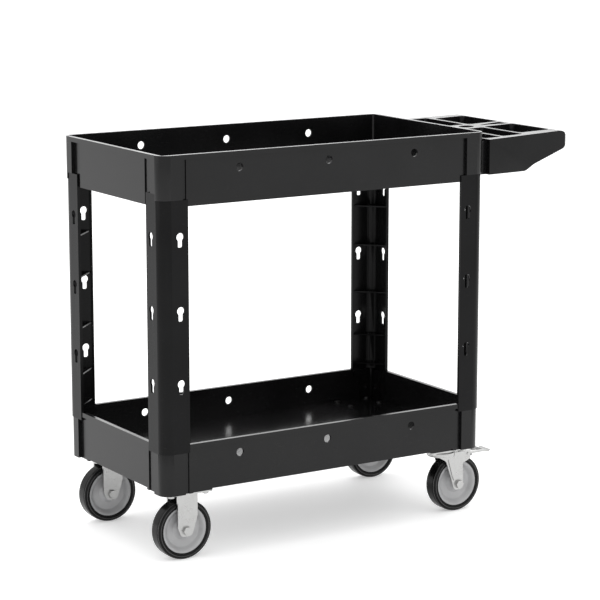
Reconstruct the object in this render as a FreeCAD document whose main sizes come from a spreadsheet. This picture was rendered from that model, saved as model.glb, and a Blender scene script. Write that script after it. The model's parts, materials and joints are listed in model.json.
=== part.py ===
import FreeCAD, Part
import math
import os
import re
import Sketcher

# Two-shelf service trolley. Millimetres, +X towards the handle, +Y across, +Z up, floor at Z = 0.
# The sheet "Sizes" drives every sub-part; sub-part sizes are expressions on its cells.

DIMENSIONS = {
    # overall
    "overall_length": 1030,
    "tray_length": 794,
    "tray_width": 430,
    # trays
    "upper_rim": 840,
    "lower_rim": 250,
    "lower_inset": 3,
    "skirt_height": 104,
    "tub_depth": 70,
    "shell": 9,
    "floor_thick": 4,
    "corner_round": 24,
    "tub_corner": 4,
    "rim_band": 10,
    "panel_recess": 4.5,
    "groove_recess": 7,
    "post_long": 50.5,
    "groove_long_end": 61,
    "post_short": 42,
    "groove_short_end": 72,
    "skirt_relief": 4,
    "relief_margin": 12,
    "relief_round": 6,
    "side_hole_radius": 8.5,
    "side_hole_pitch": 213,
    "side_hole_drop": 33,
    "rib_thick": 3,
    "rib_height": 22,
    "rib_pitch": 110,
    "pad_round": 5,
    # how far a cut starts outside the solid, and how far a joined piece bites into its neighbour
    "overcut": 2,
    "joint_bite": 0.5,
    # legs
    "leg_inset": 1.5,
    "leg_width": 62,
    "leg_wall": 4,
    "lip_depth": 6.5,
    "lip_thick": 3.5,
    "leg_top": 749.7,
    "leg_foot": 233.3,
    "collar_height": 14,
    "tab_rise": 13,
    "tab_start": 22,
    "tenon_width": 44,
    "tenon_wall": 4,
    "tenon_round": 5,
    "collar_round": 4,
    "gusset_thick": 3,
    "keyhole_reach": 43.5,
    "keyhole_top": 676,
    "keyhole_pitch": 149.5,
    "keyhole_head_radius": 8.5,
    "keyhole_slot_width": 10.8,
    "keyhole_drop": 21,
    "keyhole_slot_round": 3,
    "free_gap": 0.3,
    # handle
    "neck_length": 13,
    "neck_width": 396,
    "neck_plug_width": 278,
    "neck_step": 4,
    "handle_low": 746,
    "handle_root_top": 822,
    "handle_end_top": 828,
    "handle_root_width": 420,
    "handle_end_width": 386,
    "bin_floor": 750,
    "web": 8,
    "belly_end": 116,
    "belly_round": 22,
    "chin_start": 141,
    "chin_height": 759.5,
    "nose_low": 791,
    "nose_under_round": 21,
    "nose_top_round": 20,
    "nose_plan_round": 8,
    "bar_depth": 24,
    "bin_round": 6,
    "bin_margin": 5,
    "bin_split": 60,
    "bin_far": 122,
    "bin_outer": 188,
    "bin_inner": 24,
    "second_bin_outer": 184,
    "second_bin_inner": 34,
    "opening_outer": 163,
    "opening_inner": 27,
    "opening_round": 10,
    "wedge_start": 142,
    "wedge_margin": 6,
    "wedge_half_start": 3,
    "wedge_half_end": 17,
    "wedge_round": 4,
    "hub_station": 103,
    "hub_pocket_radius": 17,
    "slot_start": 21,
    "slot_end": 76,
    "slot_half_start": 10,
    "slot_half_end": 4,
    "slot_round": 2.5,
    # casters
    "wheel_radius": 62.5,
    "wheel_side": 50,
    "rigid_wheel_station": 68,
    "kingpin_station": 720,
    "trail": 33,
    "tyre_half_width": 16,
    "tyre_step": 1,
    "tyre_foot_round": 0.6,
    "tyre_foot_height": 3.4,
    "tyre_crown": 2,
    "tyre_shoulder_round": 4,
    "tread_half_width": 9,
    "tread_round": 6,
    "core_radius": 50,
    "core_half_width": 14,
    "core_web_half": 5,
    "core_fillet": 3,
    "rim_lip": 3,
    "rim_slope": 6,
    "dish_margin": 12,
    "hub_half_width": 17,
    "hub_radius": 15,
    "hub_edge_round": 1.5,
    "hub_taper": 6,
    "hub_foot": 2,
    "hub_flare": 7,
    "bush_radius": 8,
    "bush_half_length": 19.2,
    "axle_radius": 5,
    "axle_head_radius": 9.5,
    "axle_head_height": 6,
    "axle_nut_height": 8,
    "axle_thread": 10,
    "running_gap": 0.05,
    "fork_gap": 19.5,
    "steel": 3,
    "plate_length": 104,
    "plate_width": 78,
    "plate_top": 146,
    "plate_round": 7,
    "plate_bolt_x": 40,
    "plate_bolt_y": 27,
    "plate_bolt_radius": 4,
    "kingpin_radius": 6,
    "kingpin_head_radius": 9.5,
    "kingpin_head_height": 3.5,
    "race_radius": 28,
    "race_hole_radius": 18,
    "crown_radius": 31,
    "crown_low": 128,
    "crown_high": 136.5,
    "bridge_reach": 42,
    "bridge_round": 3,
    # fork legs, seen from the side
    "fork_foot_drop": 12.5,
    "fork_foot_half": 12.5,
    "fork_foot_round": 11,
    "fork_edge_round": 8,
    "fork_ear_round": 5,
    "rigid_offset": 2,
    "rigid_lead": 21,
    "rigid_lead_turn": 72,
    "rigid_trail": 26,
    "rigid_trail_turn": 92,
    "shoulder_reach": 20,
    "throat_reach": 2,
    "throat_height": 118,
    "throat_round": 14,
    "shin_reach": 10,
    "shin_height": 84,
    "calf_reach": 43,
    "calf_height": 108,
    "ear_reach": 64,
    "ear_low": 117,
    "bead_width": 2.5,
    "bead_proud": 2,
    "bead_knee_reach": 14,
    "bead_foot_reach": 19,
    "bead_foot_height": 72,
    "bead_top_reach": 3.5,
    "bead_top_height": 120,
    # foot brakes
    "pedal_pivot_reach": 57,
    "pedal_pivot_height": 128,
    "pedal_pin_radius": 3,
    "pedal_reach": 121,
    "pedal_half_width": 18,
    "pedal_hub_wall": 3,
    "pedal_pin_end": 1.5,
    "pedal_under": 2.5,
    "pedal_over": 1.5,
    "pedal_root": 4,
    "pedal_dip_start": 16,
    "pedal_dip_end": 6,
    "pedal_dip": 2.5,
    "pedal_bend_round": 12,
    "pedal_dip_round": 3,
    "pedal_tip_round": 1.5,
    "window_start": 20,
    "window_end": 31,
    "window_half": 9,
    "window_round": 3,
    "shoe_reach": 9,
    "shoe_drop": 8.5,
    "shoe_length": 9,
    "shoe_width": 24,
    # fasteners
    "screw_reach": 30,
    "screw_radius": 2,
    "screw_head_radius": 3.6,
    "screw_head_height": 2.4,
    "screw_bite": 6.5,
    "screw_skin": 1.2,
    "upper_screw_height": 758,
    "lower_screw_height": 205,
    "handle_screw_height": 756,
    "handle_screw_radius": 2.5,
    "handle_screw_length": 19,
    "handle_screw_head_radius": 5,
    "handle_screw_head_height": 3,
    "caster_bolt_head_radius": 6.4,
    "caster_bolt_head_height": 2.5,
    "caster_nut_radius": 7.2,
    "caster_nut_height": 5,
    "bolt_end": 1,
}

GUSSET_HEIGHTS = (262, 330, 430, 540, 630)
HANDLE_SCREW_STATIONS = (-130, -60, 60, 130)
KEYHOLES_PER_FLANGE = 3
DIAGONAL = math.cos(math.pi / 4)

doc = FreeCAD.newDocument("trolley")
sheet = doc.addObject("Spreadsheet::Sheet", "Sizes")
sub_parts = []


def fill_sheet():
    """Write every driving dimension as a plain number with its name as alias."""
    for row, (name, value) in enumerate(DIMENSIONS.items(), start=1):
        sheet.set("A%d" % row, name)
        sheet.set("B%d" % row, str(value))
        sheet.setAlias("B%d" % row, name)
    doc.recompute()


def number(text):
    """Value of a size expression, worked out from the driving dimensions."""
    def plain(word):
        return str(DIMENSIONS[word.group(0)])
    return FreeCAD.Units.parseQuantity(re.sub(r"[a-z_]+", plain, text)).Value


def bound(text):
    """The same expression as the objects read it, through the sheet's aliases."""
    return re.sub(r"[a-z_]+", r"Sizes.\g<0>", text)


def drive(item, **sizes):
    """Bind properties of a document object to size expressions."""
    for name, text in sizes.items():
        item.setExpression(name.replace("__", "."), bound(text))
    return item


def place(item, x="0", y="0", z="0"):
    """Bind an object's position to size expressions."""
    item.setExpression("Placement.Base.x", bound(x))
    item.setExpression("Placement.Base.y", bound(y))
    item.setExpression("Placement.Base.z", bound(z))
    return item


# ---------------------------------------------------------------- sketches and body features

def new_body(label):
    body = doc.addObject("PartDesign::Body", label)
    body.Label = label
    return body


def new_sketch(body, role, offset="0"):
    """A sketch on one of the body's origin planes, moved along that plane's normal."""
    sketch = body.newObject("Sketcher::SketchObject", body.Name + "_sketch")
    plane = [item for item in body.Origin.OriginFeatures if item.Role == role][0]
    sketch.AttachmentSupport = (plane, [""])
    sketch.MapMode = "FlatFace"
    sketch.setExpression("AttachmentOffset.Base.z", bound(offset))
    return sketch


def hold(sketch, kind, reference, text):
    """Add one dimension to a sketch and bind it to a size expression."""
    index = sketch.addConstraint(Sketcher.Constraint(kind, *reference, number(text)))
    sketch.setExpression("Constraints[%d]" % index, bound(text))


def hold_point(sketch, geometry, position, x, y):
    hold(sketch, "DistanceX", (-1, 1, geometry, position), x)
    hold(sketch, "DistanceY", (-1, 1, geometry, position), y)


def corner_arc(before, here, after, radius):
    """Where a rounded corner starts and ends, and its centre."""
    to_before = (before - here).normalize()
    to_after = (after - here).normalize()
    half = to_before.getAngle(to_after) / 2
    reach = radius / math.tan(half)
    centre = here + (to_before + to_after).normalize() * (radius / math.sin(half))
    return here + to_before * reach, here + to_after * reach, centre


def outline(sketch, corners):
    """One closed outline. A corner is (x, y) or (x, y, radius), each a size expression."""
    points = [FreeCAD.Vector(number(corner[0]), number(corner[1]), 0) for corner in corners]
    count = len(points)
    starts, ends, centres = {}, {}, {}
    for i, corner in enumerate(corners):
        starts[i] = ends[i] = points[i]
        if len(corner) > 2:
            before, after = points[i - 1], points[(i + 1) % count]
            ends[i], starts[i], centres[i] = corner_arc(before, points[i], after, number(corner[2]))
    lines = []
    for i in range(count):
        lines.append(sketch.addGeometry(Part.LineSegment(starts[i], ends[(i + 1) % count]), False))
    for i, corner in enumerate(corners):
        line_in, line_out = lines[i - 1], lines[i]
        if i not in centres:
            sketch.addConstraint(Sketcher.Constraint("Coincident", line_in, 2, line_out, 1))
            hold_point(sketch, line_out, 1, corner[0], corner[1])
            continue
        marker = sketch.addGeometry(Part.Point(points[i]), True)
        hold_point(sketch, marker, 1, corner[0], corner[1])
        sketch.addConstraint(Sketcher.Constraint("PointOnObject", marker, 1, line_in))
        sketch.addConstraint(Sketcher.Constraint("PointOnObject", marker, 1, line_out))
        first, last = ends[i] - centres[i], starts[i] - centres[i]
        anticlockwise = first.cross(last).z > 0
        if not anticlockwise:
            first, last = last, first
        circle = Part.Circle(centres[i], FreeCAD.Vector(0, 0, 1), number(corner[2]))
        low, high = math.atan2(first.y, first.x), math.atan2(last.y, last.x)
        arc = sketch.addGeometry(Part.ArcOfCircle(circle, low, high), False)
        enter, leave = (1, 2) if anticlockwise else (2, 1)
        sketch.addConstraint(Sketcher.Constraint("Tangent", line_in, 2, arc, enter))
        sketch.addConstraint(Sketcher.Constraint("Tangent", line_out, 1, arc, leave))
        hold(sketch, "Radius", (arc,), corner[2])
    return sketch


def rectangle(sketch, left, right, low, high, radius=None):
    extra = (radius,) if radius else ()
    return outline(sketch, [(left, low) + extra, (right, low) + extra,
                            (right, high) + extra, (left, high) + extra])


def circle(sketch, x, y, radius):
    centre = FreeCAD.Vector(number(x), number(y), 0)
    index = sketch.addGeometry(Part.Circle(centre, FreeCAD.Vector(0, 0, 1), number(radius)), False)
    hold_point(sketch, index, 3, x, y)
    hold(sketch, "Radius", (index,), radius)
    return sketch


def pad(body, sketch, length, backwards=False):
    feature = body.newObject("PartDesign::Pad", body.Name + "_pad")
    feature.Profile = sketch
    feature.Reversed = backwards
    drive(feature, Length=length)
    doc.recompute()
    return feature


def pocket(body, sketch, length=None, backwards=False):
    """Cut a sketch into the body; it must take material away, which catches a wrong direction."""
    before = body.Shape.Volume
    feature = body.newObject("PartDesign::Pocket", body.Name + "_pocket")
    feature.Profile = sketch
    feature.Reversed = backwards
    if length:
        drive(feature, Length=length)
    else:
        feature.Type = "ThroughAll"
    doc.recompute()
    if body.Shape.Volume > before - 1:
        raise ValueError("a cut in %s takes nothing away" % body.Label)
    return feature


def revolve(body, sketch):
    feature = body.newObject("PartDesign::Revolution", body.Name + "_revolution")
    feature.Profile = sketch
    feature.ReferenceAxis = (sketch, ["H_Axis"])
    feature.Angle = 360
    doc.recompute()
    return feature


# ---------------------------------------------------------------- primitives

def box(name, x, y, z, length, width, height):
    item = doc.addObject("Part::Box", name)
    drive(item, Length=length, Width=width, Height=height)
    return place(item, x, y, z)


def rod(name, x, y, z, radius, length, along="z"):
    """A cylinder that starts at x, y, z and runs along +X, +Y or +Z."""
    item = doc.addObject("Part::Cylinder", name)
    drive(item, Radius=radius, Height=length)
    turns = {"x": (FreeCAD.Vector(0, 1, 0), 90), "y": (FreeCAD.Vector(1, 0, 0), -90)}
    if along in turns:
        item.Placement = FreeCAD.Placement(FreeCAD.Vector(), FreeCAD.Rotation(*turns[along]))
    return place(item, x, y, z)


def hex_block(name, x, y, z, radius, height, along="z"):
    item = doc.addObject("Part::Prism", name)
    item.Polygon = 6
    drive(item, Circumradius=radius, Height=height)
    if along == "y":
        turn = FreeCAD.Rotation(FreeCAD.Vector(1, 0, 0), -90)
        item.Placement = FreeCAD.Placement(FreeCAD.Vector(), turn)
    return place(item, x, y, z)


def join(label, *pieces):
    item = doc.addObject("Part::MultiFuse", label)
    item.Shapes = list(pieces)
    item.Refine = True
    return item


def cut(label, base, tool):
    item = doc.addObject("Part::Cut", label)
    item.Base = base
    item.Tool = tool
    return item


def group(label, pieces):
    item = doc.addObject("Part::Compound", label)
    item.Links = pieces
    return item


def keep(item, label):
    """Name a finished sub-part and list it for writing."""
    item.Label = label
    sub_parts.append(item)
    return item


# ---------------------------------------------------------------- trays

TRAY_CENTRE = "(tray_length - overall_length) / 2"


def add_tray_shell(body, rim, inset):
    """Outer block, tub from above and hollow from below."""
    half_x = "tray_length / 2 - %s" % inset
    half_y = "tray_width / 2 - %s" % inset
    skirt_low = "%s - skirt_height" % rim
    block = new_sketch(body, "XY_Plane", skirt_low)
    rectangle(block, "-(%s)" % half_x, half_x, "-(%s)" % half_y, half_y, "corner_round")
    pad(body, block, "skirt_height")
    for level, depth, upwards in ((rim, "tub_depth", False),
                                  (skirt_low, "skirt_height - tub_depth - floor_thick", True)):
        hollow = new_sketch(body, "XY_Plane", level)
        rectangle(hollow, "-(%s - shell)" % half_x, "%s - shell" % half_x,
                  "-(%s - shell)" % half_y, "%s - shell" % half_y, "tub_corner")
        pocket(body, hollow, depth, backwards=upwards)


def add_skirt_panels(body, rim, inset):
    """Recess the panels between the corner posts and cut the deep grooves beside the posts."""
    half_x = "(tray_length / 2 - %s)" % inset
    half_y = "(tray_width / 2 - %s)" % inset
    band_low = "%s - rim_band" % rim
    panels = new_sketch(body, "XY_Plane", band_low)
    grooves = new_sketch(body, "XY_Plane", band_low)
    long_end = half_x + " - groove_long_end"
    short_end = half_y + " - groove_short_end"
    for sign in ("-", ""):
        edge_y = ["%s(%s + overcut)" % (sign, half_y), "%s(%s - panel_recess)" % (sign, half_y)]
        edge_x = ["%s(%s + overcut)" % (sign, half_x), "%s(%s - panel_recess)" % (sign, half_x)]
        if not sign:
            edge_x.reverse()
            edge_y.reverse()
        rectangle(panels, "-(%s)" % long_end, long_end, edge_y[0], edge_y[1])
        rectangle(panels, edge_x[0], edge_x[1], "-(%s)" % short_end, short_end)
        for side in ("-", ""):
            deep_y = ["%s(%s + overcut)" % (sign, half_y), "%s(%s - groove_recess)" % (sign, half_y)]
            span_x = ["%s(%s - post_long)" % (side, half_x), "%s(%s - groove_long_end)" % (side, half_x)]
            deep_x = ["%s(%s + overcut)" % (sign, half_x), "%s(%s - groove_recess)" % (sign, half_x)]
            span_y = ["%s(%s - post_short)" % (side, half_y), "%s(%s - groove_short_end)" % (side, half_y)]
            for pair in (deep_y, span_x, deep_x, span_y):
                pair.sort(key=number)
            rectangle(grooves, span_x[0], span_x[1], deep_y[0], deep_y[1])
            rectangle(grooves, deep_x[0], deep_x[1], span_y[0], span_y[1])
    pocket(body, panels, "skirt_height")
    pocket(body, grooves, "skirt_height")


def add_side_holes(body, rim):
    """Three round holes through both long walls."""
    holes = new_sketch(body, "XZ_Plane", "tray_width / 2 + overcut")
    for x in ("-side_hole_pitch", "0", "side_hole_pitch"):
        circle(holes, x, "%s - side_hole_drop" % rim, "side_hole_radius")
    pocket(body, holes)


def add_floor_ribs(body, rim, inset):
    """Lengthwise and crosswise ribs under the tub floor, reaching just into the shell."""
    low = "%s - tub_depth - floor_thick - rib_height" % rim
    reach_x = "tray_length / 2 - %s - shell + joint_bite" % inset
    reach_y = "tray_width / 2 - %s - shell + joint_bite" % inset
    for x in ("-2 * rib_pitch", "-rib_pitch", "0", "rib_pitch", "2 * rib_pitch"):
        rib = new_sketch(body, "XY_Plane", low)
        rectangle(rib, "%s - rib_thick / 2" % x, "%s + rib_thick / 2" % x, "-(%s)" % reach_y, reach_y)
        pad(body, rib, "rib_height + joint_bite")
    for y in ("-rib_pitch", "0", "rib_pitch"):
        rib = new_sketch(body, "XY_Plane", low)
        rectangle(rib, "-(%s)" % reach_x, reach_x, "%s - rib_thick / 2" % y, "%s + rib_thick / 2" % y)
        pad(body, rib, "rib_height + joint_bite")


def corner_rectangles(sketch, inset, size_x, size_y, start_x="-overcut", start_y="-overcut"):
    """The same rectangle in all four corners, measured inwards from the tray's edges."""
    half_x = "(tray_length / 2 - %s)" % inset
    half_y = "(tray_width / 2 - %s)" % inset
    for side_x in ("-", ""):
        for side_y in ("-", ""):
            span_x = ["%s(%s - %s)" % (side_x, half_x, reach) for reach in ("(%s)" % start_x, size_x)]
            span_y = ["%s(%s - %s)" % (side_y, half_y, reach) for reach in ("(%s)" % start_y, size_y)]
            span_x.sort(key=number)
            span_y.sort(key=number)
            rectangle(sketch, span_x[0], span_x[1], span_y[0], span_y[1])


def add_screw_holes(body, inset, height):
    """One blind screw hole per flange in every corner, from the inner face of the shell."""
    reach = "(tray_length / 2 - %s - screw_reach)" % inset
    across = "(tray_width / 2 - %s - screw_reach)" % inset
    wall_y = "tray_width / 2 - %s - shell" % inset
    wall_x = "tray_length / 2 - %s - shell" % inset
    for side in ("-", ""):
        holes = new_sketch(body, "XZ_Plane", "%s(%s)" % (side, wall_y))
        for x in ("-" + reach, reach):
            circle(holes, x, height, "screw_radius + running_gap")
        pocket(body, holes, "screw_bite", backwards=not side)
        holes = new_sketch(body, "YZ_Plane", "%s(%s)" % (side, wall_x))
        for y in ("-" + across, across):
            circle(holes, y, height, "screw_radius + running_gap")
        pocket(body, holes, "screw_bite", backwards=not side)


def upper_tray():
    body = new_body("upper_tray")
    add_tray_shell(body, "upper_rim", "0")
    add_skirt_panels(body, "upper_rim", "0")
    add_side_holes(body, "upper_rim")
    add_floor_ribs(body, "upper_rim", "0")
    notch = new_sketch(body, "XY_Plane", "upper_rim - skirt_height")
    size = "(leg_inset + leg_width + free_gap)"
    corner_rectangles(notch, "0", size, size)
    pocket(body, notch, "leg_top + free_gap - upper_rim + skirt_height", backwards=True)
    tab = new_sketch(body, "XY_Plane", "leg_top")
    corner_rectangles(tab, "0", "(leg_inset + leg_wall + free_gap)", size,
                      start_y="leg_inset + tab_start - free_gap")
    pocket(body, tab, "tab_rise + free_gap", backwards=True)
    add_screw_holes(body, "0", "upper_screw_height")
    handle_holes = new_sketch(body, "YZ_Plane", "tray_length / 2 + overcut")
    for y in HANDLE_SCREW_STATIONS:
        circle(handle_holes, str(y), "handle_screw_height", "handle_screw_radius + running_gap")
    pocket(body, handle_holes, "shell + 2 * overcut")
    place(body, TRAY_CENTRE)
    keep(body, "upper_tray")


def lower_tray():
    body = new_body("lower_tray")
    add_tray_shell(body, "lower_rim", "lower_inset")
    add_skirt_panels(body, "lower_rim", "lower_inset")
    add_side_holes(body, "lower_rim")
    add_floor_ribs(body, "lower_rim", "lower_inset")
    relief = new_sketch(body, "XY_Plane", "lower_rim - skirt_height")
    half_x = "tray_length / 2 - groove_long_end - relief_margin"
    half_y = "tray_width / 2 - groove_short_end - relief_margin"
    rectangle(relief, "-(%s)" % half_x, half_x, "-(tray_width)", "tray_width", "relief_round")
    pocket(body, relief, "skirt_relief", backwards=True)
    relief = new_sketch(body, "XY_Plane", "lower_rim - skirt_height")
    rectangle(relief, "-(tray_length)", "tray_length", "-(%s)" % half_y, half_y, "relief_round")
    pocket(body, relief, "skirt_relief", backwards=True)
    notch = new_sketch(body, "XY_Plane", "lower_rim")
    size = "(leg_inset + leg_width + free_gap - lower_inset)"
    corner_rectangles(notch, "lower_inset", size, size)
    pocket(body, notch, "lower_rim - leg_foot + free_gap")
    add_screw_holes(body, "lower_inset", "lower_screw_height")
    add_caster_pads(body)
    place(body, TRAY_CENTRE)
    keep(body, "lower_tray")


def plate_centres():
    """Caster plate centres in the tray's own frame: (x, y)."""
    rigid = "(rigid_wheel_station + rigid_offset - tray_length / 2)"
    swivel = "(kingpin_station - tray_length / 2)"
    across = "(tray_width / 2 - wheel_side)"
    return [(x, side + across) for x in (rigid, swivel) for side in ("-", "")]


def add_caster_pads(body):
    """A thick pad under the floor over every caster plate, with four bolt holes."""
    pads = new_sketch(body, "XY_Plane", "plate_top")
    holes = new_sketch(body, "XY_Plane", "lower_rim")
    for x, y in plate_centres():
        rectangle(pads, x + " - plate_length / 2", x + " + plate_length / 2",
                  y + " - plate_width / 2", y + " + plate_width / 2", "pad_round")
        for side_x in ("-", "+"):
            for side_y in ("-", "+"):
                circle(holes, x + side_x + "plate_bolt_x", y + side_y + "plate_bolt_y",
                       "plate_bolt_radius + running_gap")
    pad(body, pads, "lower_rim - tub_depth - floor_thick - plate_top + joint_bite")
    pocket(body, holes, "lower_rim - plate_top + overcut")


# ---------------------------------------------------------------- legs

def angle_outline(sketch, start, width, wall, outer, inner):
    """An L-shaped outline in the leg's own corner frame with a rounded heel."""
    far = "(%s + %s)" % (start, wall)
    outline(sketch, [(start, start, outer), (width, start), (width, far), (far, far, inner),
                     (far, width), (start, width)])


def leg(label, tab_on_x, x, y, turn):
    """An L-shaped leg: ribbed angle with lips, keyhole slots, collars and tenons at both ends."""
    body = new_body(label)
    low, high = "(leg_foot + collar_height)", "(leg_top - collar_height)"
    section = new_sketch(body, "XY_Plane", low)
    inner_lip = "(leg_width - lip_thick)"
    outline(section, [("0", "0", "corner_round"), ("leg_width", "0"), ("leg_width", "lip_depth"),
                      (inner_lip, "lip_depth"), (inner_lip, "leg_wall"),
                      ("leg_wall", "leg_wall", "corner_round - leg_wall"), ("leg_wall", inner_lip),
                      ("lip_depth", inner_lip), ("lip_depth", "leg_width"), ("0", "leg_width")])
    pad(body, section, "%s - %s" % (high, low))
    upper_start = "(shell + free_gap - leg_inset)"
    lower_start = "(lower_inset + shell + free_gap - leg_inset)"
    for level, start, drop in ((high, upper_start, False), (low, lower_start, True)):
        collar = new_sketch(body, "XY_Plane", level)
        angle_outline(collar, "0", "leg_width", "(%s + tenon_wall)" % start, "corner_round",
                      "collar_round")
        pad(body, collar, "collar_height", backwards=drop)
    upper_tenon = new_sketch(body, "XY_Plane", high)
    angle_outline(upper_tenon, upper_start, "tenon_width", "tenon_wall", "tenon_round", "collar_round")
    pad(body, upper_tenon, "upper_rim - tub_depth - floor_thick - free_gap - %s" % high)
    lower_tenon = new_sketch(body, "XY_Plane", low)
    angle_outline(lower_tenon, lower_start, "tenon_width", "tenon_wall", "tenon_round", "collar_round")
    pad(body, lower_tenon, "%s - lower_rim + tub_depth - free_gap" % low, backwards=True)
    tab = new_sketch(body, "XY_Plane", high)
    if tab_on_x:
        rectangle(tab, "tab_start", "leg_width", "0", "leg_wall")
    else:
        rectangle(tab, "0", "leg_wall", "tab_start", "leg_width")
    pad(body, tab, "collar_height + tab_rise")
    for height in GUSSET_HEIGHTS:
        add_gusset(body, str(height))
    add_keyholes(body)
    for plane, level in (("XZ_Plane", "-screw_skin"), ("YZ_Plane", "screw_skin")):
        holes = new_sketch(body, plane, level)
        for z, tray_inset in (("upper_screw_height", "0"), ("lower_screw_height", "lower_inset")):
            circle(holes, "screw_reach + %s - leg_inset" % tray_inset, z, "screw_radius + running_gap")
        pocket(body, holes, "leg_width / 2", backwards=plane == "YZ_Plane")
    body.Placement = FreeCAD.Placement(FreeCAD.Vector(), FreeCAD.Rotation(FreeCAD.Vector(0, 0, 1), turn))
    place(body, x, y)
    keep(body, label)


def add_gusset(body, height):
    """A flat web across the inside of the angle, from one lip to the other."""
    web = new_sketch(body, "XY_Plane", height)
    near = "(leg_wall - joint_bite)"
    heel = "(corner_round - %.4f * (corner_round - leg_wall / 2))" % DIAGONAL
    end = "(leg_width - lip_thick + joint_bite)"
    outline(web, [(heel, heel), ("corner_round", near), (end, near), (near, end), (near, "corner_round")])
    pad(body, web, "gusset_thick")


def add_keyholes(body):
    """Keyhole slots in both flanges: a round head with a narrower slot below it."""
    half = "keyhole_slot_width / 2"
    for plane in ("XZ_Plane", "YZ_Plane"):
        heads = new_sketch(body, plane)
        slots = new_sketch(body, plane)
        for step in range(KEYHOLES_PER_FLANGE):
            centre = "(keyhole_top - %d * keyhole_pitch)" % step
            circle(heads, "keyhole_reach", centre, "keyhole_head_radius")
            rectangle(slots, "keyhole_reach - " + half, "keyhole_reach + " + half,
                      centre + " - keyhole_drop", centre + " - overcut", "keyhole_slot_round")
        for sketch in (heads, slots):
            pocket(body, sketch, "leg_wall + overcut", backwards=plane == "YZ_Plane")


def legs():
    left = "-overall_length / 2 + leg_inset"
    right = "tray_length - overall_length / 2 - leg_inset"
    near = "-tray_width / 2 + leg_inset"
    far = "tray_width / 2 - leg_inset"
    leg("leg_near_front", False, left, near, 0)
    leg("leg_near_handle", True, right, near, 90)
    leg("leg_far_handle", False, right, far, 180)
    leg("leg_far_front", True, left, far, 270)


# ---------------------------------------------------------------- handle

def handle():
    """Moulded handle: deep side walls, open rib frame on top, bins and two hand openings."""
    body = new_body("handle")
    end = "(overall_length - tray_length)"
    half_root = "(handle_root_width / 2)"
    profile = new_sketch(body, "XZ_Plane", half_root)
    outline(profile, [("neck_length", "handle_low"), ("belly_end", "handle_low", "belly_round"),
                      ("chin_start", "chin_height", "belly_round"), (end, "nose_low", "nose_under_round"),
                      (end, "handle_end_top", "nose_top_round"), ("neck_length", "handle_root_top")])
    pad(body, profile, "handle_root_width", backwards=True)
    neck = new_sketch(body, "XY_Plane", "handle_low")
    rectangle(neck, "0", "neck_length + joint_bite", "-neck_width / 2", "neck_width / 2")
    pad(body, neck, "handle_root_top - handle_low - neck_step")
    plug = new_sketch(body, "XY_Plane", "handle_low")
    rectangle(plug, "-panel_recess", "joint_bite", "-neck_plug_width / 2", "neck_plug_width / 2")
    pad(body, plug, "handle_root_top - handle_low - neck_step")
    taper_handle_sides(body, end, half_root)
    cut_handle_bays(body)
    holes = new_sketch(body, "YZ_Plane", "-panel_recess")
    for y in HANDLE_SCREW_STATIONS:
        circle(holes, str(y), "handle_screw_height", "handle_screw_radius + running_gap")
    pocket(body, holes, "handle_screw_length - shell + panel_recess + overcut", backwards=True)
    place(body, "tray_length - overall_length / 2")
    keep(body, "handle")


def taper_handle_sides(body, end, half_root):
    """Trim both sides so the handle narrows towards its end and its end corners are round."""
    trim = new_sketch(body, "XY_Plane", "upper_rim")
    half_end = "(handle_end_width / 2)"
    for side in ("-", ""):
        corners = [("neck_length", "%s(%s + overcut)" % (side, half_root)),
                   ("%s + overcut" % end, "%s(%s + overcut)" % (side, half_root)),
                   ("%s + overcut" % end, "%s(%s - 2 * nose_plan_round)" % (side, half_end)),
                   (end, "%s(%s - 2 * nose_plan_round)" % (side, half_end)),
                   (end, "%s%s" % (side, half_end), "nose_plan_round"),
                   ("neck_length", "%s%s" % (side, half_root))]
        outline(trim, corners)
    pocket(body, trim)


def cut_handle_bays(body):
    """Bins beside the tray, hand openings beside the grip bar and small openings at the centre."""
    end = "(overall_length - tray_length)"
    top = "upper_rim"
    bins = new_sketch(body, "XY_Plane", top)
    for side in ("-", ""):
        first = sorted([side + "bin_inner", side + "bin_outer"], key=number)
        second = sorted([side + "second_bin_inner", side + "second_bin_outer"], key=number)
        rectangle(bins, "neck_length + bin_margin", "bin_split", first[0], first[1], "bin_round")
        rectangle(bins, "bin_split + web", "bin_far", second[0], second[1], "bin_round")
    pocket(body, bins, "%s - bin_floor" % top)
    openings = new_sketch(body, "XY_Plane", top)
    for side in ("-", ""):
        span = sorted([side + "opening_inner", side + "opening_outer"], key=number)
        rectangle(openings, "bin_far + web", "%s - bar_depth" % end, span[0], span[1], "opening_round")
    wedge_end = "(%s - bar_depth - wedge_margin)" % end
    outline(openings, [("wedge_start", "-wedge_half_start"), (wedge_end, "-wedge_half_end", "wedge_round"),
                       (wedge_end, "wedge_half_end", "wedge_round"), ("wedge_start", "wedge_half_start")])
    pocket(body, openings)
    centre = new_sketch(body, "XY_Plane", top)
    circle(centre, "hub_station", "0", "hub_pocket_radius")
    outline(centre, [("slot_start", "-slot_half_start", "slot_round"),
                     ("slot_end", "-slot_half_end", "slot_round"),
                     ("slot_end", "slot_half_end", "slot_round"),
                     ("slot_start", "slot_half_start", "slot_round")])
    pocket(body, centre, "%s - bin_floor" % top)


# ---------------------------------------------------------------- casters

WHEEL_Z = "wheel_radius"


def side_y(side):
    return "%s(tray_width / 2 - wheel_side)" % side


def station(distance):
    """Row X of a distance measured from the tray's free end."""
    return "(%s - overall_length / 2)" % distance


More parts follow.
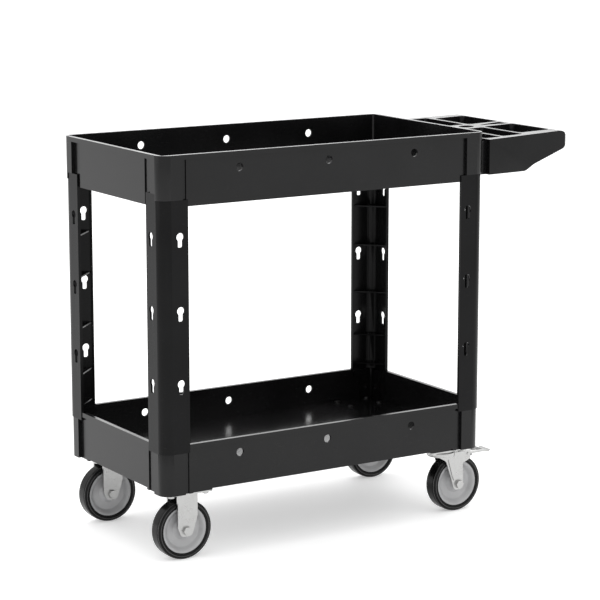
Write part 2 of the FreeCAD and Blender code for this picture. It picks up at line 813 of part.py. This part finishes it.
def wheel(label, x, y):
    """Core, tyre and bush: one set per wheel, turned about the wheel's own axis."""
    core = new_body("core_" + label)
    profile = new_sketch(core, "YZ_Plane")
    half = [("hub_half_width", "bush_radius"), ("hub_half_width", "hub_radius", "hub_edge_round"),
            ("hub_half_width - hub_taper", "hub_radius + hub_foot"),
            ("core_web_half", "hub_radius + hub_flare", "core_fillet"),
            ("core_web_half", "core_radius - dish_margin", "core_fillet"),
            ("core_half_width - hub_foot", "core_radius - rim_slope"),
            ("core_half_width", "core_radius - rim_lip"), ("core_half_width", "core_radius")]
    mirrored = [("-(%s)" % corner[0],) + corner[1:] for corner in reversed(half)]
    outline(profile, half + mirrored)
    revolve(core, profile)
    place(core, x, y, WHEEL_Z)
    keep(core, "core_" + label)

    tyre = new_body("tyre_" + label)
    profile = new_sketch(tyre, "YZ_Plane")
    half = [("core_half_width", "core_radius"),
            ("tyre_half_width - tyre_step", "core_radius", "tyre_foot_round"),
            ("tyre_half_width - tyre_step", "core_radius + tyre_foot_height"),
            ("tyre_half_width", "core_radius + tyre_foot_height + tyre_step"),
            ("tyre_half_width", "wheel_radius - tyre_crown", "tyre_shoulder_round"),
            ("tread_half_width", "wheel_radius", "tread_round")]
    mirrored = [("-(%s)" % corner[0],) + corner[1:] for corner in reversed(half)]
    outline(profile, half + mirrored)
    revolve(tyre, profile)
    place(tyre, x, y, WHEEL_Z)
    keep(tyre, "tyre_" + label)

    sleeve = rod("sleeve_" + label, x, y + " - bush_half_length", WHEEL_Z, "bush_radius",
                 "2 * bush_half_length", "y")
    bore = rod("bore_" + label, x, y + " - bush_half_length - overcut", WHEEL_Z,
               "axle_radius + running_gap", "2 * (bush_half_length + overcut)", "y")
    keep(cut("bush_" + label, sleeve, bore), "bush_" + label)


def axle(label, x, y):
    """Axle bolt with its hex head outside the near fork leg, and the nut outside the far one."""
    outside = "(fork_gap + steel)"
    shank = rod("shank_" + label, x, "%s - %s" % (y, outside), WHEEL_Z, "axle_radius",
                "2 * %s + axle_thread" % outside, "y")
    head = hex_block("head_" + label, x, "%s - %s - axle_head_height" % (y, outside), WHEEL_Z,
                     "axle_head_radius", "axle_head_height", "y")
    keep(join("axle_" + label, shank, head), "axle_" + label)
    blank = hex_block("nut_blank_" + label, x, "%s + %s" % (y, outside), WHEEL_Z, "axle_head_radius",
                      "axle_nut_height", "y")
    hole = rod("nut_hole_" + label, x, "%s + %s - overcut" % (y, outside), WHEEL_Z, "axle_radius",
               "axle_nut_height + 2 * overcut", "y")
    keep(cut("nut_" + label, blank, hole), "nut_" + label)


def fork_legs(body, corners, axle_x, stiffener):
    """Two flat fork legs with axle holes and a raised bead along the leading edge."""
    bead_start, bead_thick = "fork_gap + steel - joint_bite", "bead_proud + joint_bite"
    for side in ("-", ""):
        for shape, start, thick in ((corners, "fork_gap", "steel"), (stiffener, bead_start, bead_thick)):
            sketch = new_sketch(body, "XZ_Plane", "%s(%s)" % (side, start))
            outline(sketch, shape)
            pad(body, sketch, thick, backwards=bool(side))
    holes = new_sketch(body, "XZ_Plane", "fork_gap + steel + bead_proud + overcut")
    circle(holes, axle_x, WHEEL_Z, "axle_radius + running_gap")
    pocket(body, holes)


def bolted_plate(body, low):
    """Flat top plate with four bolt holes."""
    plate = new_sketch(body, "XY_Plane", low)
    rectangle(plate, "-plate_length / 2", "plate_length / 2", "-plate_width / 2", "plate_width / 2",
              "plate_round")
    pad(body, plate, "steel")
    holes = new_sketch(body, "XY_Plane", "plate_top + overcut")
    for x in ("-plate_bolt_x", "plate_bolt_x"):
        for y in ("-plate_bolt_y", "plate_bolt_y"):
            circle(holes, x, y, "plate_bolt_radius + running_gap")
    pocket(body, holes, "steel + 2 * overcut")


def rigid_caster(label, side):
    """Fixed caster: one stamped plate with two legs, wheel between them."""
    body = new_body("fork_" + label)
    bolted_plate(body, "plate_top - steel")
    top, low = "plate_top - steel / 2", "wheel_radius - fork_foot_drop"
    lead, trailing = "-rigid_offset - rigid_lead", "rigid_trail - rigid_offset"
    legs_shape = [(lead, top), (lead, "rigid_lead_turn", "fork_edge_round"),
                  ("-rigid_offset - fork_foot_half", low, "fork_foot_round"),
                  ("fork_foot_half - rigid_offset", low, "fork_foot_round"),
                  (trailing, "rigid_trail_turn", "fork_edge_round"), (trailing, top)]
    bead = [(lead, "plate_top - steel"), (lead, "rigid_lead_turn + joint_bite"),
            (lead + " + bead_width", "rigid_lead_turn + joint_bite"),
            (lead + " + bead_width", "plate_top - steel")]
    fork_legs(body, legs_shape, "-rigid_offset", bead)
    place(body, station("(rigid_wheel_station + rigid_offset)"), side_y(side))
    keep(body, "fork_" + label)
    x = station("rigid_wheel_station")
    wheel(label, x, side_y(side))
    axle(label, x, side_y(side))


def swivel_caster(label, side):
    """Swivelling caster with kingpin, race, trailing fork and foot brake."""
    plate = new_body("plate_" + label)
    bolted_plate(plate, "plate_top - steel")
    bore = new_sketch(plate, "XY_Plane", "plate_top + overcut")
    circle(bore, "0", "0", "kingpin_radius")
    pocket(plate, bore, "steel + 2 * overcut")
    x, y = station("kingpin_station"), side_y(side)
    place(plate, x, y)
    keep(plate, "plate_" + label)

    race = rod("race_blank_" + label, x, y, "crown_high + free_gap", "race_radius",
               "plate_top - steel - crown_high - free_gap")
    race_hole = rod("race_hole_" + label, x, y, "crown_high", "race_hole_radius", "plate_top - crown_high")
    keep(cut("race_" + label, race, race_hole), "race_" + label)

    foot_low = "(crown_low - free_gap - kingpin_head_height)"
    stem = rod("stem_" + label, x, y, foot_low, "kingpin_radius", "plate_top - " + foot_low)
    foot = rod("stem_foot_" + label, x, y, foot_low, "kingpin_head_radius", "kingpin_head_height")
    keep(join("kingpin_" + label, stem, foot), "kingpin_" + label)
    swivel_fork(label, x, y)
    wheel_x = station("(kingpin_station + trail)")
    wheel(label, wheel_x, y)
    axle(label, wheel_x, y)
    foot_brake(label, x, y)


def swivel_fork(label, x, y):
    body = new_body("fork_" + label)
    crown = new_sketch(body, "XY_Plane", "crown_low")
    circle(crown, "0", "0", "crown_radius")
    pad(body, crown, "crown_high - crown_low")
    bridge = new_sketch(body, "XY_Plane", "crown_low")
    rectangle(bridge, "0", "bridge_reach", "-(fork_gap + steel)", "fork_gap + steel", "bridge_round")
    pad(body, bridge, "steel")
    low = "wheel_radius - fork_foot_drop"
    top = "crown_high - steel / 2"
    corners = [("-shoulder_reach", top), ("-shoulder_reach", "crown_low", "fork_ear_round"),
               ("-throat_reach", "throat_height", "throat_round"),
               ("shin_reach", "shin_height", "fork_edge_round"),
               ("trail - fork_foot_half", low, "fork_foot_round"),
               ("trail + fork_foot_half", low, "fork_foot_round"),
               ("calf_reach", "calf_height", "fork_ear_round"), ("ear_reach", "ear_low", "fork_ear_round"),
               ("ear_reach", top, "fork_ear_round")]
    bead = [("bead_knee_reach", "shin_height"), ("bead_foot_reach", "bead_foot_height"),
            ("bead_foot_reach + bead_width", "bead_foot_height"),
            ("bead_knee_reach + bead_width", "shin_height"),
            ("bead_top_reach + bead_width", "bead_top_height"), ("bead_top_reach", "bead_top_height")]
    fork_legs(body, corners, "trail", bead)
    pivots = new_sketch(body, "XZ_Plane", "fork_gap + steel + bead_proud + overcut")
    circle(pivots, "pedal_pivot_reach", "pedal_pivot_height", "pedal_pin_radius")
    pocket(body, pivots)
    bore = new_sketch(body, "XY_Plane", "plate_top + overcut")
    circle(bore, "0", "0", "kingpin_radius + running_gap")
    pocket(body, bore)
    place(body, x, y)
    keep(body, "fork_" + label)


def foot_brake(label, x, y):
    """Pivot pin in the fork, and the pedal that turns on it with a rubber shoe under its arm."""
    pivot_x = x + " + pedal_pivot_reach"
    pin = rod("pedal_pin_" + label, pivot_x, y + " - fork_gap - steel - pedal_pin_end",
              "pedal_pivot_height", "pedal_pin_radius", "2 * (fork_gap + steel + pedal_pin_end)", "y")
    keep(pin, "pedal_pin_" + label)

    body = new_body("pedal_" + label)
    half = "pedal_half_width"
    side = new_sketch(body, "XZ_Plane", half)
    reach = "(pedal_reach - pedal_pivot_reach)"
    dip_start, dip_end = reach + " - pedal_dip_start", reach + " - pedal_dip_end"
    outline(side, [("pedal_root", "-pedal_under"), (dip_start, "-pedal_under", "pedal_bend_round"),
                   (dip_end, "-pedal_under - pedal_dip", "pedal_dip_round"),
                   (reach, "-pedal_under", "pedal_tip_round"), (reach, "pedal_over", "pedal_tip_round"),
                   (dip_end, "pedal_over - pedal_dip", "pedal_dip_round"),
                   (dip_start, "pedal_over", "pedal_bend_round"), ("pedal_root", "pedal_over")])
    pad(body, side, "2 * pedal_half_width", backwards=True)
    hub = new_sketch(body, "XZ_Plane", half)
    circle(hub, "0", "0", "pedal_pin_radius + pedal_hub_wall")
    pad(body, hub, "2 * pedal_half_width", backwards=True)
    bore = new_sketch(body, "XZ_Plane", half + " + overcut")
    circle(bore, "0", "0", "pedal_pin_radius + running_gap")
    pocket(body, bore)
    window = new_sketch(body, "XY_Plane", "pedal_over + overcut")
    rectangle(window, "window_start", "window_end", "-window_half", "window_half", "window_round")
    pocket(body, window)
    place(body, pivot_x, y, "pedal_pivot_height")
    keep(body, "pedal_" + label)

    shoe = box("shoe_" + label, pivot_x + " + shoe_reach", y + " - shoe_width / 2",
               "pedal_pivot_height - shoe_drop", "shoe_length", "shoe_width", "shoe_drop - pedal_under")
    keep(shoe, "shoe_" + label)


# ---------------------------------------------------------------- fasteners

def screw(name, x, y, z, direction, shank_radius, shank_length, head_radius, head_height):
    """Pan-head screw; x, y, z is under the head and direction is the way the shank points."""
    along = direction[1]
    forward = direction[0] == "+"
    step = {"x": 0, "y": 1, "z": 2}[along]
    under = [x, y, z]
    start = list(under)
    head_start = list(under)
    if forward:
        head_start[step] = "%s - (%s)" % (under[step], head_height)
    else:
        start[step] = "%s - (%s)" % (under[step], shank_length)
    shank = rod(name + "_shank", *start, shank_radius, shank_length, along)
    head = rod(name + "_head", *head_start, head_radius, head_height, along)
    return join(name, shank, head)


def leg_screws():
    """Screws through the tenons into the corner posts of both trays."""
    screws = []
    for tray, inset, height in (("upper", "0", "upper_screw_height"),
                                ("lower", "lower_inset", "lower_screw_height")):
        for end in ("-", "+"):
            for side in ("-", "+"):
                name = "leg_screw_%s_%d%d" % (tray, end == "+", side == "+")
                edge_x = "%s %s (tray_length / 2 - %s" % (TRAY_CENTRE, end, inset)
                edge_y = "%s(tray_width / 2 - %s" % ("-" if side == "-" else "", inset)
                seat = " - shell - free_gap - tenon_wall)"
                reach = " - screw_reach)"
                screws.append(screw(name + "_long", edge_x + reach, edge_y + seat, height, side + "y",
                                    "screw_radius", "screw_bite + tenon_wall", "screw_head_radius",
                                    "screw_head_height"))
                screws.append(screw(name + "_short", edge_x + seat, edge_y + reach, height, end + "x",
                                    "screw_radius", "screw_bite + tenon_wall", "screw_head_radius",
                                    "screw_head_height"))
    keep(group("leg_screws", screws), "leg_screws")


def handle_screws():
    screws = []
    wall = "tray_length - overall_length / 2 - shell"
    for index, y in enumerate(HANDLE_SCREW_STATIONS):
        screws.append(screw("handle_screw_%d" % index, wall, str(y), "handle_screw_height", "+x",
                            "handle_screw_radius", "handle_screw_length", "handle_screw_head_radius",
                            "handle_screw_head_height"))
    keep(group("handle_screws", screws), "handle_screws")


def caster_bolts():
    """Bolts with low round heads on the tub floor and nuts under the caster plates."""
    bolts, nuts = [], []
    floor = "lower_rim - tub_depth"
    nut_low = "(plate_top - steel - caster_nut_height)"
    for index, (centre_x, centre_y) in enumerate(plate_centres()):
        for side_x in ("-", "+"):
            for side_y_sign in ("-", "+"):
                name = "%d%d%d" % (index, side_x == "+", side_y_sign == "+")
                x = "%s + %s %s plate_bolt_x" % (TRAY_CENTRE, centre_x, side_x)
                y = "%s %s plate_bolt_y" % (centre_y, side_y_sign)
                bolts.append(screw("caster_bolt_" + name, x, y, floor, "-z", "plate_bolt_radius",
                                   "%s - %s + bolt_end" % (floor, nut_low), "caster_bolt_head_radius",
                                   "caster_bolt_head_height"))
                blank = hex_block("caster_nut_blank_" + name, x, y, nut_low, "caster_nut_radius",
                                  "caster_nut_height")
                hole = rod("caster_nut_hole_" + name, x, y, nut_low + " - overcut", "plate_bolt_radius",
                           "caster_nut_height + 2 * overcut")
                nuts.append(cut("caster_nut_" + name, blank, hole))
    keep(group("caster_bolts", bolts), "caster_bolts")
    keep(group("caster_nuts", nuts), "caster_nuts")


# ---------------------------------------------------------------- build, check and write

def build():
    fill_sheet()
    upper_tray()
    lower_tray()
    legs()
    handle()
    for side, name in (("-", "near"), ("", "far")):
        rigid_caster("rigid_" + name, side)
        swivel_caster("swivel_" + name, side)
    leg_screws()
    handle_screws()
    caster_bolts()
    doc.recompute()


def check_document():
    """Stop if any object failed to compute or any sub-part's shape is unusable."""
    for item in doc.Objects:
        if "Invalid" in item.State or "Error" in item.State:
            raise ValueError("%s did not compute" % item.Label)
    for item in sub_parts:
        if item.Shape.isNull() or not item.Shape.isValid():
            raise ValueError("%s has no valid shape" % item.Label)


def write_parts():
    os.makedirs("parts", exist_ok=True)
    for item in sub_parts:
        item.Shape.exportStep("parts/%s.step" % item.Label)


build()
check_document()
write_parts()
print("wrote %d sub-parts" % len(sub_parts))
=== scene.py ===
import json
import math

import bmesh
import bpy
from mathutils import Matrix, Vector


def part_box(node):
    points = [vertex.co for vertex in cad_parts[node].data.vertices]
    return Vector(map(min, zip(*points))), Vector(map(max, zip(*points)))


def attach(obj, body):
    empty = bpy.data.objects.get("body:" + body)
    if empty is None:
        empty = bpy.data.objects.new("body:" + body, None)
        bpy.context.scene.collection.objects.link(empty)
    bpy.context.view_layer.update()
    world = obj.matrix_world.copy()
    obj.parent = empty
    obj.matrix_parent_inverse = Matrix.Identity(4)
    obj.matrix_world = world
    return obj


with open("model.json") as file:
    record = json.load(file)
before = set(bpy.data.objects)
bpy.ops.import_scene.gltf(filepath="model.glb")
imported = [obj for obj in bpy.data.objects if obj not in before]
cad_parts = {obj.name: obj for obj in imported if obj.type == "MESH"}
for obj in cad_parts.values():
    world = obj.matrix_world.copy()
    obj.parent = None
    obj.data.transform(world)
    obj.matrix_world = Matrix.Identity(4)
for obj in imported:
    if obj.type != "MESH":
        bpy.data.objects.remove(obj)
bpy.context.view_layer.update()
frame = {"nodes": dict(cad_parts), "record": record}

# Looks of the two-shelf service trolley: a material for every CAD node, beads on the tyres, ridges on
# the pedals and a plain studio. Metres, in the CAD frame: +X towards the handle, floor at Z = 0.

# ---------------------------------------------------------------- node helpers

# Noise values mostly lie between these two.
NOISE_LOW = 0.3
NOISE_HIGH = 0.7


def new_material(name):
    """A material with an empty node tree apart from its shader and output."""
    material = bpy.data.materials.new(name)
    material.use_nodes = True
    nodes = material.node_tree.nodes
    nodes.clear()
    shader = nodes.new("ShaderNodeBsdfPrincipled")
    output = nodes.new("ShaderNodeOutputMaterial")
    material.node_tree.links.new(shader.outputs["BSDF"], output.inputs["Surface"])
    return material, shader


def noise(material, scale, detail, stretch=(1.0, 1.0, 1.0)):
    """Noise over the object's own coordinates; scale is per metre."""
    nodes, links = material.node_tree.nodes, material.node_tree.links
    place = nodes.new("ShaderNodeTexCoord")
    mapping = nodes.new("ShaderNodeMapping")
    mapping.inputs["Scale"].default_value = stretch
    texture = nodes.new("ShaderNodeTexNoise")
    texture.inputs["Scale"].default_value = scale
    texture.inputs["Detail"].default_value = detail
    links.new(place.outputs["Object"], mapping.inputs["Vector"])
    links.new(mapping.outputs["Vector"], texture.inputs["Vector"])
    return texture.outputs["Fac"]


def ramp(material, source, shades, low=NOISE_LOW, high=NOISE_HIGH):
    """Turn a value into a colour: the first shade up to low, the second from high on."""
    node = material.node_tree.nodes.new("ShaderNodeValToRGB")
    for element, position, shade in zip(node.color_ramp.elements, (low, high), shades):
        element.position = position
        element.color = (*shade, 1.0)
    material.node_tree.links.new(source, node.inputs["Fac"])
    return node.outputs["Color"]


def spread(material, source, to_low, to_high):
    """Map a noise's usual span to another span."""
    node = material.node_tree.nodes.new("ShaderNodeMapRange")
    ends = (("From Min", NOISE_LOW), ("From Max", NOISE_HIGH), ("To Min", to_low), ("To Max", to_high))
    for name, value in ends:
        node.inputs[name].default_value = value
    material.node_tree.links.new(source, node.inputs["Value"])
    return node.outputs["Result"]


def add_colour(material, base, over, amount):
    """Add part of one colour to another."""
    node = material.node_tree.nodes.new("ShaderNodeMix")
    node.data_type = "RGBA"
    node.blend_type = "ADD"
    node.inputs["Factor"].default_value = amount
    material.node_tree.links.new(base, node.inputs["A"])
    material.node_tree.links.new(over, node.inputs["B"])
    return node.outputs["Result"]


def bump(material, shader, layers):
    """Stack bump layers: (height source, strength, distance in metres)."""
    previous = None
    for source, strength, distance in layers:
        node = material.node_tree.nodes.new("ShaderNodeBump")
        node.inputs["Strength"].default_value = strength
        node.inputs["Distance"].default_value = distance
        material.node_tree.links.new(source, node.inputs["Height"])
        if previous:
            material.node_tree.links.new(previous, node.inputs["Normal"])
        previous = node.outputs["Normal"]
    material.node_tree.links.new(previous, shader.inputs["Normal"])


def colour_and_roughness(material, shader, colour, roughness):
    material.node_tree.links.new(colour, shader.inputs["Base Color"])
    material.node_tree.links.new(roughness, shader.inputs["Roughness"])


# ---------------------------------------------------------------- materials

# The darkest and the lightest patches of each material.
PLASTIC_SHADES = ((0.0035, 0.0035, 0.0037), (0.0062, 0.0062, 0.0065))
SCUFF_SHADES = ((0.0, 0.0, 0.0), (0.012, 0.012, 0.012))
BRIGHT_ZINC_SHADES = ((0.42, 0.42, 0.415), (0.46, 0.46, 0.455))
DARKER_ZINC_SHADES = ((0.07, 0.07, 0.07), (0.12, 0.12, 0.12))
CORE_SHADES = ((0.31, 0.31, 0.315), (0.38, 0.38, 0.385))
BEARING_SHADES = ((0.05, 0.05, 0.05), (0.08, 0.08, 0.08))
RUBBER_SHADES = ((0.003, 0.003, 0.0032), (0.007, 0.007, 0.0069))

# How strongly each plastic or rubber surface mirrors.
TRAY_SHEEN = 0.24
HANDLE_SHEEN = 0.16
LEG_SHEEN = 0.11
TYRE_SHEEN = 0.13
BEAD_SHEEN = 0.75


def black_plastic(name, sheen):
    """Moulded polypropylene: near black, finely grained, with faint cloudy patches and light scuffs."""
    material, shader = new_material(name)
    shader.inputs["Specular IOR Level"].default_value = sheen
    clouds = noise(material, scale=7.0, detail=3.0)
    scuffs = noise(material, scale=90.0, detail=6.0, stretch=(1.0, 1.0, 6.0))
    grain = noise(material, scale=1500.0, detail=2.0)
    tone = ramp(material, clouds, PLASTIC_SHADES)
    wear = ramp(material, scuffs, SCUFF_SHADES, low=0.62, high=0.8)
    scuffed = add_colour(material, tone, wear, amount=0.6)
    colour_and_roughness(material, shader, scuffed, spread(material, clouds, 0.2, 0.27))
    bump(material, shader, ((grain, 0.06, 0.0001), (clouds, 0.05, 0.001)))
    return material


def zinc_steel(name, shades):
    """Zinc plate with soft mottling and faint streaks."""
    material, shader = new_material(name)
    shader.inputs["Metallic"].default_value = 1.0
    mottle = noise(material, scale=120.0, detail=5.0)
    streaks = noise(material, scale=40.0, detail=4.0, stretch=(1.0, 1.0, 12.0))
    tone = ramp(material, mottle, shades)
    colour_and_roughness(material, shader, tone, spread(material, mottle, 0.26, 0.34))
    bump(material, shader, ((streaks, 0.04, 0.0002), (mottle, 0.02, 0.0001)))
    return material


def grey_plastic():
    """Wheel cores: mid-grey moulded plastic."""
    material, shader = new_material("grey_plastic")
    clouds = noise(material, scale=30.0, detail=3.0)
    grain = noise(material, scale=1800.0, detail=2.0)
    tone = ramp(material, clouds, CORE_SHADES)
    colour_and_roughness(material, shader, tone, spread(material, clouds, 0.3, 0.4))
    bump(material, shader, ((grain, 0.1, 0.0002),))
    return material


def bearing_plastic():
    """Bushes in the wheel hubs: dark, duller plastic."""
    material, shader = new_material("bearing_plastic")
    clouds = noise(material, scale=60.0, detail=3.0)
    tone = ramp(material, clouds, BEARING_SHADES)
    colour_and_roughness(material, shader, tone, spread(material, clouds, 0.4, 0.55))
    bump(material, shader, ((clouds, 0.1, 0.0003),))
    return material


def black_rubber(name, sheen):
    """Tyres and brake shoes: black with dusty patches."""
    material, shader = new_material(name)
    shader.inputs["Specular IOR Level"].default_value = sheen
    dust = noise(material, scale=50.0, detail=6.0)
    grain = noise(material, scale=1200.0, detail=3.0)
    tone = ramp(material, dust, RUBBER_SHADES, low=0.35, high=0.75)
    colour_and_roughness(material, shader, tone, spread(material, dust, 0.16, 0.26))
    bump(material, shader, ((grain, 0.1, 0.0001), (dust, 0.05, 0.0003)))
    return material


MATERIALS = {
    "black_plastic": black_plastic("tray_plastic", TRAY_SHEEN),
    "zinc_steel": zinc_steel("bright_zinc", BRIGHT_ZINC_SHADES),
    "grey_plastic": grey_plastic(),
    "bearing_plastic": bearing_plastic(),
    "black_rubber": black_rubber("tyre_rubber", TYRE_SHEEN),
}
LEG_PLASTIC = black_plastic("leg_plastic", LEG_SHEEN)
HANDLE_PLASTIC = black_plastic("handle_plastic", HANDLE_SHEEN)
POLISHED_RUBBER = black_rubber("bead_rubber", BEAD_SHEEN)
# A darker copy of the zinc for the leg screws, handle screws and caster bolts: only its colour is darker,
# its roughness is the same as the bright zinc's.
DARKER_ZINC = zinc_steel("darker_zinc", DARKER_ZINC_SHADES)

# Nodes that look different from the rest of their slot.
SPECIAL_FINISH = {
    "leg_near_front": LEG_PLASTIC,
    "leg_near_handle": LEG_PLASTIC,
    "leg_far_handle": LEG_PLASTIC,
    "leg_far_front": LEG_PLASTIC,
    "handle": HANDLE_PLASTIC,
    "leg_screws": DARKER_ZINC,
    "handle_screws": DARKER_ZINC,
    "caster_bolts": DARKER_ZINC,
}


# ---------------------------------------------------------------- CAD nodes

# Width of the rounding on sharp edges, by material slot; 0 leaves the node as it is.
EDGE_ROUNDING = {
    "black_plastic": 0.0009,
    "zinc_steel": 0.0004,
    "grey_plastic": 0.0004,
    "black_rubber": 0.0,
    "bearing_plastic": 0.0,
}
SHARP_ANGLE = 35
WELD_DISTANCE = 0.00002
ROUNDING_STEPS = 2


def soften_edges(piece, width):
    """Weld the imported faces together and round their sharp edges a little."""
    weld = piece.modifiers.new("weld", "WELD")
    weld.merge_threshold = WELD_DISTANCE
    bevel = piece.modifiers.new("edge_rounding", "BEVEL")
    bevel.width = width
    bevel.segments = ROUNDING_STEPS
    bevel.limit_method = "ANGLE"
    bevel.angle_limit = math.radians(SHARP_ANGLE)


def dress_nodes():
    """Give every CAD node its material and its edge rounding."""
    for part in frame["record"]["subparts"]:
        piece = frame["nodes"][part["node"]]
        slot = part["material_slot"]
        piece.data.materials.clear()
        piece.data.materials.append(SPECIAL_FINISH.get(part["node"], MATERIALS[slot]))
        if EDGE_ROUNDING[slot]:
            soften_edges(piece, EDGE_ROUNDING[slot])


# ---------------------------------------------------------------- moulded and pressed details

CASTERS = ("rigid_near", "rigid_far", "swivel_near", "swivel_far")
SIDES = ("near", "far")

# Beads on a tyre: distance from the wheel's middle plane, ring radius and thickness.
SIDEWALL_BEAD = (0.0158, 0.0562, 0.0009)
SHOULDER_BEAD = (0.0126, 0.0613, 0.0009)
RING_STEPS = 128
RING_SIDES = 10

# Ridges on a pedal: places are measured from its pivot, towards its tip.
PEDAL_HUB_RADIUS = 0.006
PEDAL_TOP = 0.0015
RIDGE_START = 0.034
RIDGE_PITCH = 0.004
RIDGE_COUNT = 4
RIDGE_SIZE = (0.0016, 0.024, 0.0012)
RIDGE_ROUND = 0.0004


def add_piece(name, mesh, material, body):
    """Put a finished mesh into the scene, give it its material and let it ride its body."""
    for polygon in mesh.polygons:
        polygon.use_smooth = True
    mesh.materials.append(material)
    piece = bpy.data.objects.new(name, mesh)
    bpy.context.collection.objects.link(piece)
    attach(piece, body)


def add_ring(points, faces, centre, offset, radius, thickness):
    """One thin ring round the Y axis: a circle of points swept about the wheel's centre."""
    start = len(points)
    for step in range(RING_STEPS):
        turn = 2 * math.pi * step / RING_STEPS
        for side in range(RING_SIDES):
            around = 2 * math.pi * side / RING_SIDES
            reach = radius + thickness * math.cos(around)
            across = offset + thickness * math.sin(around)
            points.append(centre + Vector((reach * math.cos(turn), across, reach * math.sin(turn))))
    for step in range(RING_STEPS):
        following = (step + 1) % RING_STEPS
        for side in range(RING_SIDES):
            beside = (side + 1) % RING_SIDES
            corners = ((step, side), (step, beside), (following, beside), (following, side))
            faces.append([start + a * RING_SIDES + b for a, b in corners])


def tyre_beads(caster):
    """Raised rings on both sidewalls and both shoulders of one tyre."""
    low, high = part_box("tyre_" + caster)
    centre = (Vector(low) + Vector(high)) / 2
    points, faces = [], []
    for offset, radius, thickness in (SIDEWALL_BEAD, SHOULDER_BEAD):
        for side in (-1, 1):
            add_ring(points, faces, centre, side * offset, radius, thickness)
    mesh = bpy.data.meshes.new("tyre_beads_" + caster)
    mesh.from_pydata(points, [], faces)
    add_piece("tyre_beads_" + caster, mesh, POLISHED_RUBBER, "wheel_" + caster)


def pedal_ridges(side):
    """Pressed grip ridges across the pedal."""
    low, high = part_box("pedal_swivel_" + side)
    pivot = Vector((low[0] + PEDAL_HUB_RADIUS, (low[1] + high[1]) / 2, high[2] - PEDAL_HUB_RADIUS))
    size = Matrix.Diagonal((*RIDGE_SIZE, 1))
    form = bmesh.new()
    for index in range(RIDGE_COUNT):
        station = Vector((RIDGE_START + index * RIDGE_PITCH, 0, PEDAL_TOP))
        bmesh.ops.create_cube(form, size=1, matrix=Matrix.Translation(pivot + station) @ size)
    bmesh.ops.bevel(form, geom=form.edges[:], offset=RIDGE_ROUND, segments=ROUNDING_STEPS, affect="EDGES")
    mesh = bpy.data.meshes.new("pedal_ridges_" + side)
    form.to_mesh(mesh)
    form.free()
    add_piece("pedal_ridges_" + side, mesh, MATERIALS["zinc_steel"], "brake_" + side)


# ---------------------------------------------------------------- floor, light, camera

FLOOR_SIZE = 160
FLOOR_SHADES = ((0.90, 0.90, 0.90), (0.93, 0.93, 0.93))
FLOOR_SHEEN = 0.1
FLOOR_GLOW = 0.36
WORLD_STRENGTH = 1.1
WHITE = (1.0, 1.0, 1.0, 1.0)
LIGHT_AIM = (0, 0, 0.45)

# Area lights: name, place, width, height and watts.
SOFTBOXES = (
    ("overhead", (0.3, 0.6, 3.6), 3.6, 3.6, 44),
    ("left_fill", (-3.4, 0.6, 2.0), 2.0, 2.0, 8),
    ("back_rim", (2.7, 4.3, 1.75), 5.0, 1.0, 20),
)

# The camera stands level apart from looking down, and its turn is anticlockwise from +Y; angles in degrees.
CAMERA_PLACE = (-2.679, -4.195, 1.4153)
CAMERA_DOWN = 10.78
CAMERA_TURN = -32.01
CAMERA_LENS = 139.4
CAMERA_SENSOR = 36
CAMERA_CLIP_END = 200


def floor_material():
    """Pale and slightly glowing, so that shadows on it stay soft."""
    material, shader = new_material("studio_floor")
    clouds = noise(material, scale=0.8, detail=2.0)
    tone = ramp(material, clouds, FLOOR_SHADES)
    colour_and_roughness(material, shader, tone, spread(material, clouds, 0.6, 0.7))
    shader.inputs["Specular IOR Level"].default_value = FLOOR_SHEEN
    shader.inputs["Emission Color"].default_value = WHITE
    shader.inputs["Emission Strength"].default_value = FLOOR_GLOW
    return material


def studio_floor():
    bpy.ops.mesh.primitive_plane_add(size=FLOOR_SIZE, location=(0, 0, 0))
    floor = bpy.context.object
    floor.name = "studio_floor"
    floor.data.materials.append(floor_material())


def softbox(name, location, width, height, power):
    """An area light aimed just above the middle of the trolley."""
    data = bpy.data.lights.new(name, "AREA")
    data.shape = "RECTANGLE"
    data.size = width
    data.size_y = height
    data.energy = power
    lamp = bpy.data.objects.new(name, data)
    lamp.location = location
    aim = Vector(LIGHT_AIM) - Vector(location)
    lamp.rotation_euler = aim.to_track_quat("-Z", "Y").to_euler()
    bpy.context.collection.objects.link(lamp)


def studio_light():
    """An even white surround with three soft lights."""
    world = bpy.data.worlds.new("studio")
    world.use_nodes = True
    background = world.node_tree.nodes["Background"]
    background.inputs["Color"].default_value = WHITE
    background.inputs["Strength"].default_value = WORLD_STRENGTH
    bpy.context.scene.world = world
    for name, location, width, height, power in SOFTBOXES:
        softbox(name, location, width, height, power)


def photo_camera():
    data = bpy.data.cameras.new("photo_camera")
    data.sensor_width = CAMERA_SENSOR
    data.lens = CAMERA_LENS
    data.clip_end = CAMERA_CLIP_END
    camera = bpy.data.objects.new("photo_camera", data)
    camera.location = CAMERA_PLACE
    camera.rotation_euler = (math.radians(90 - CAMERA_DOWN), 0, math.radians(CAMERA_TURN))
    bpy.context.collection.objects.link(camera)
    bpy.context.scene.camera = camera


# ---------------------------------------------------------------- make everything


dress_nodes()
for caster_name in CASTERS:
    tyre_beads(caster_name)
for side_name in SIDES:
    pedal_ridges(side_name)
studio_floor()
studio_light()
photo_camera()
bpy.context.scene.view_settings.view_transform = "Standard"
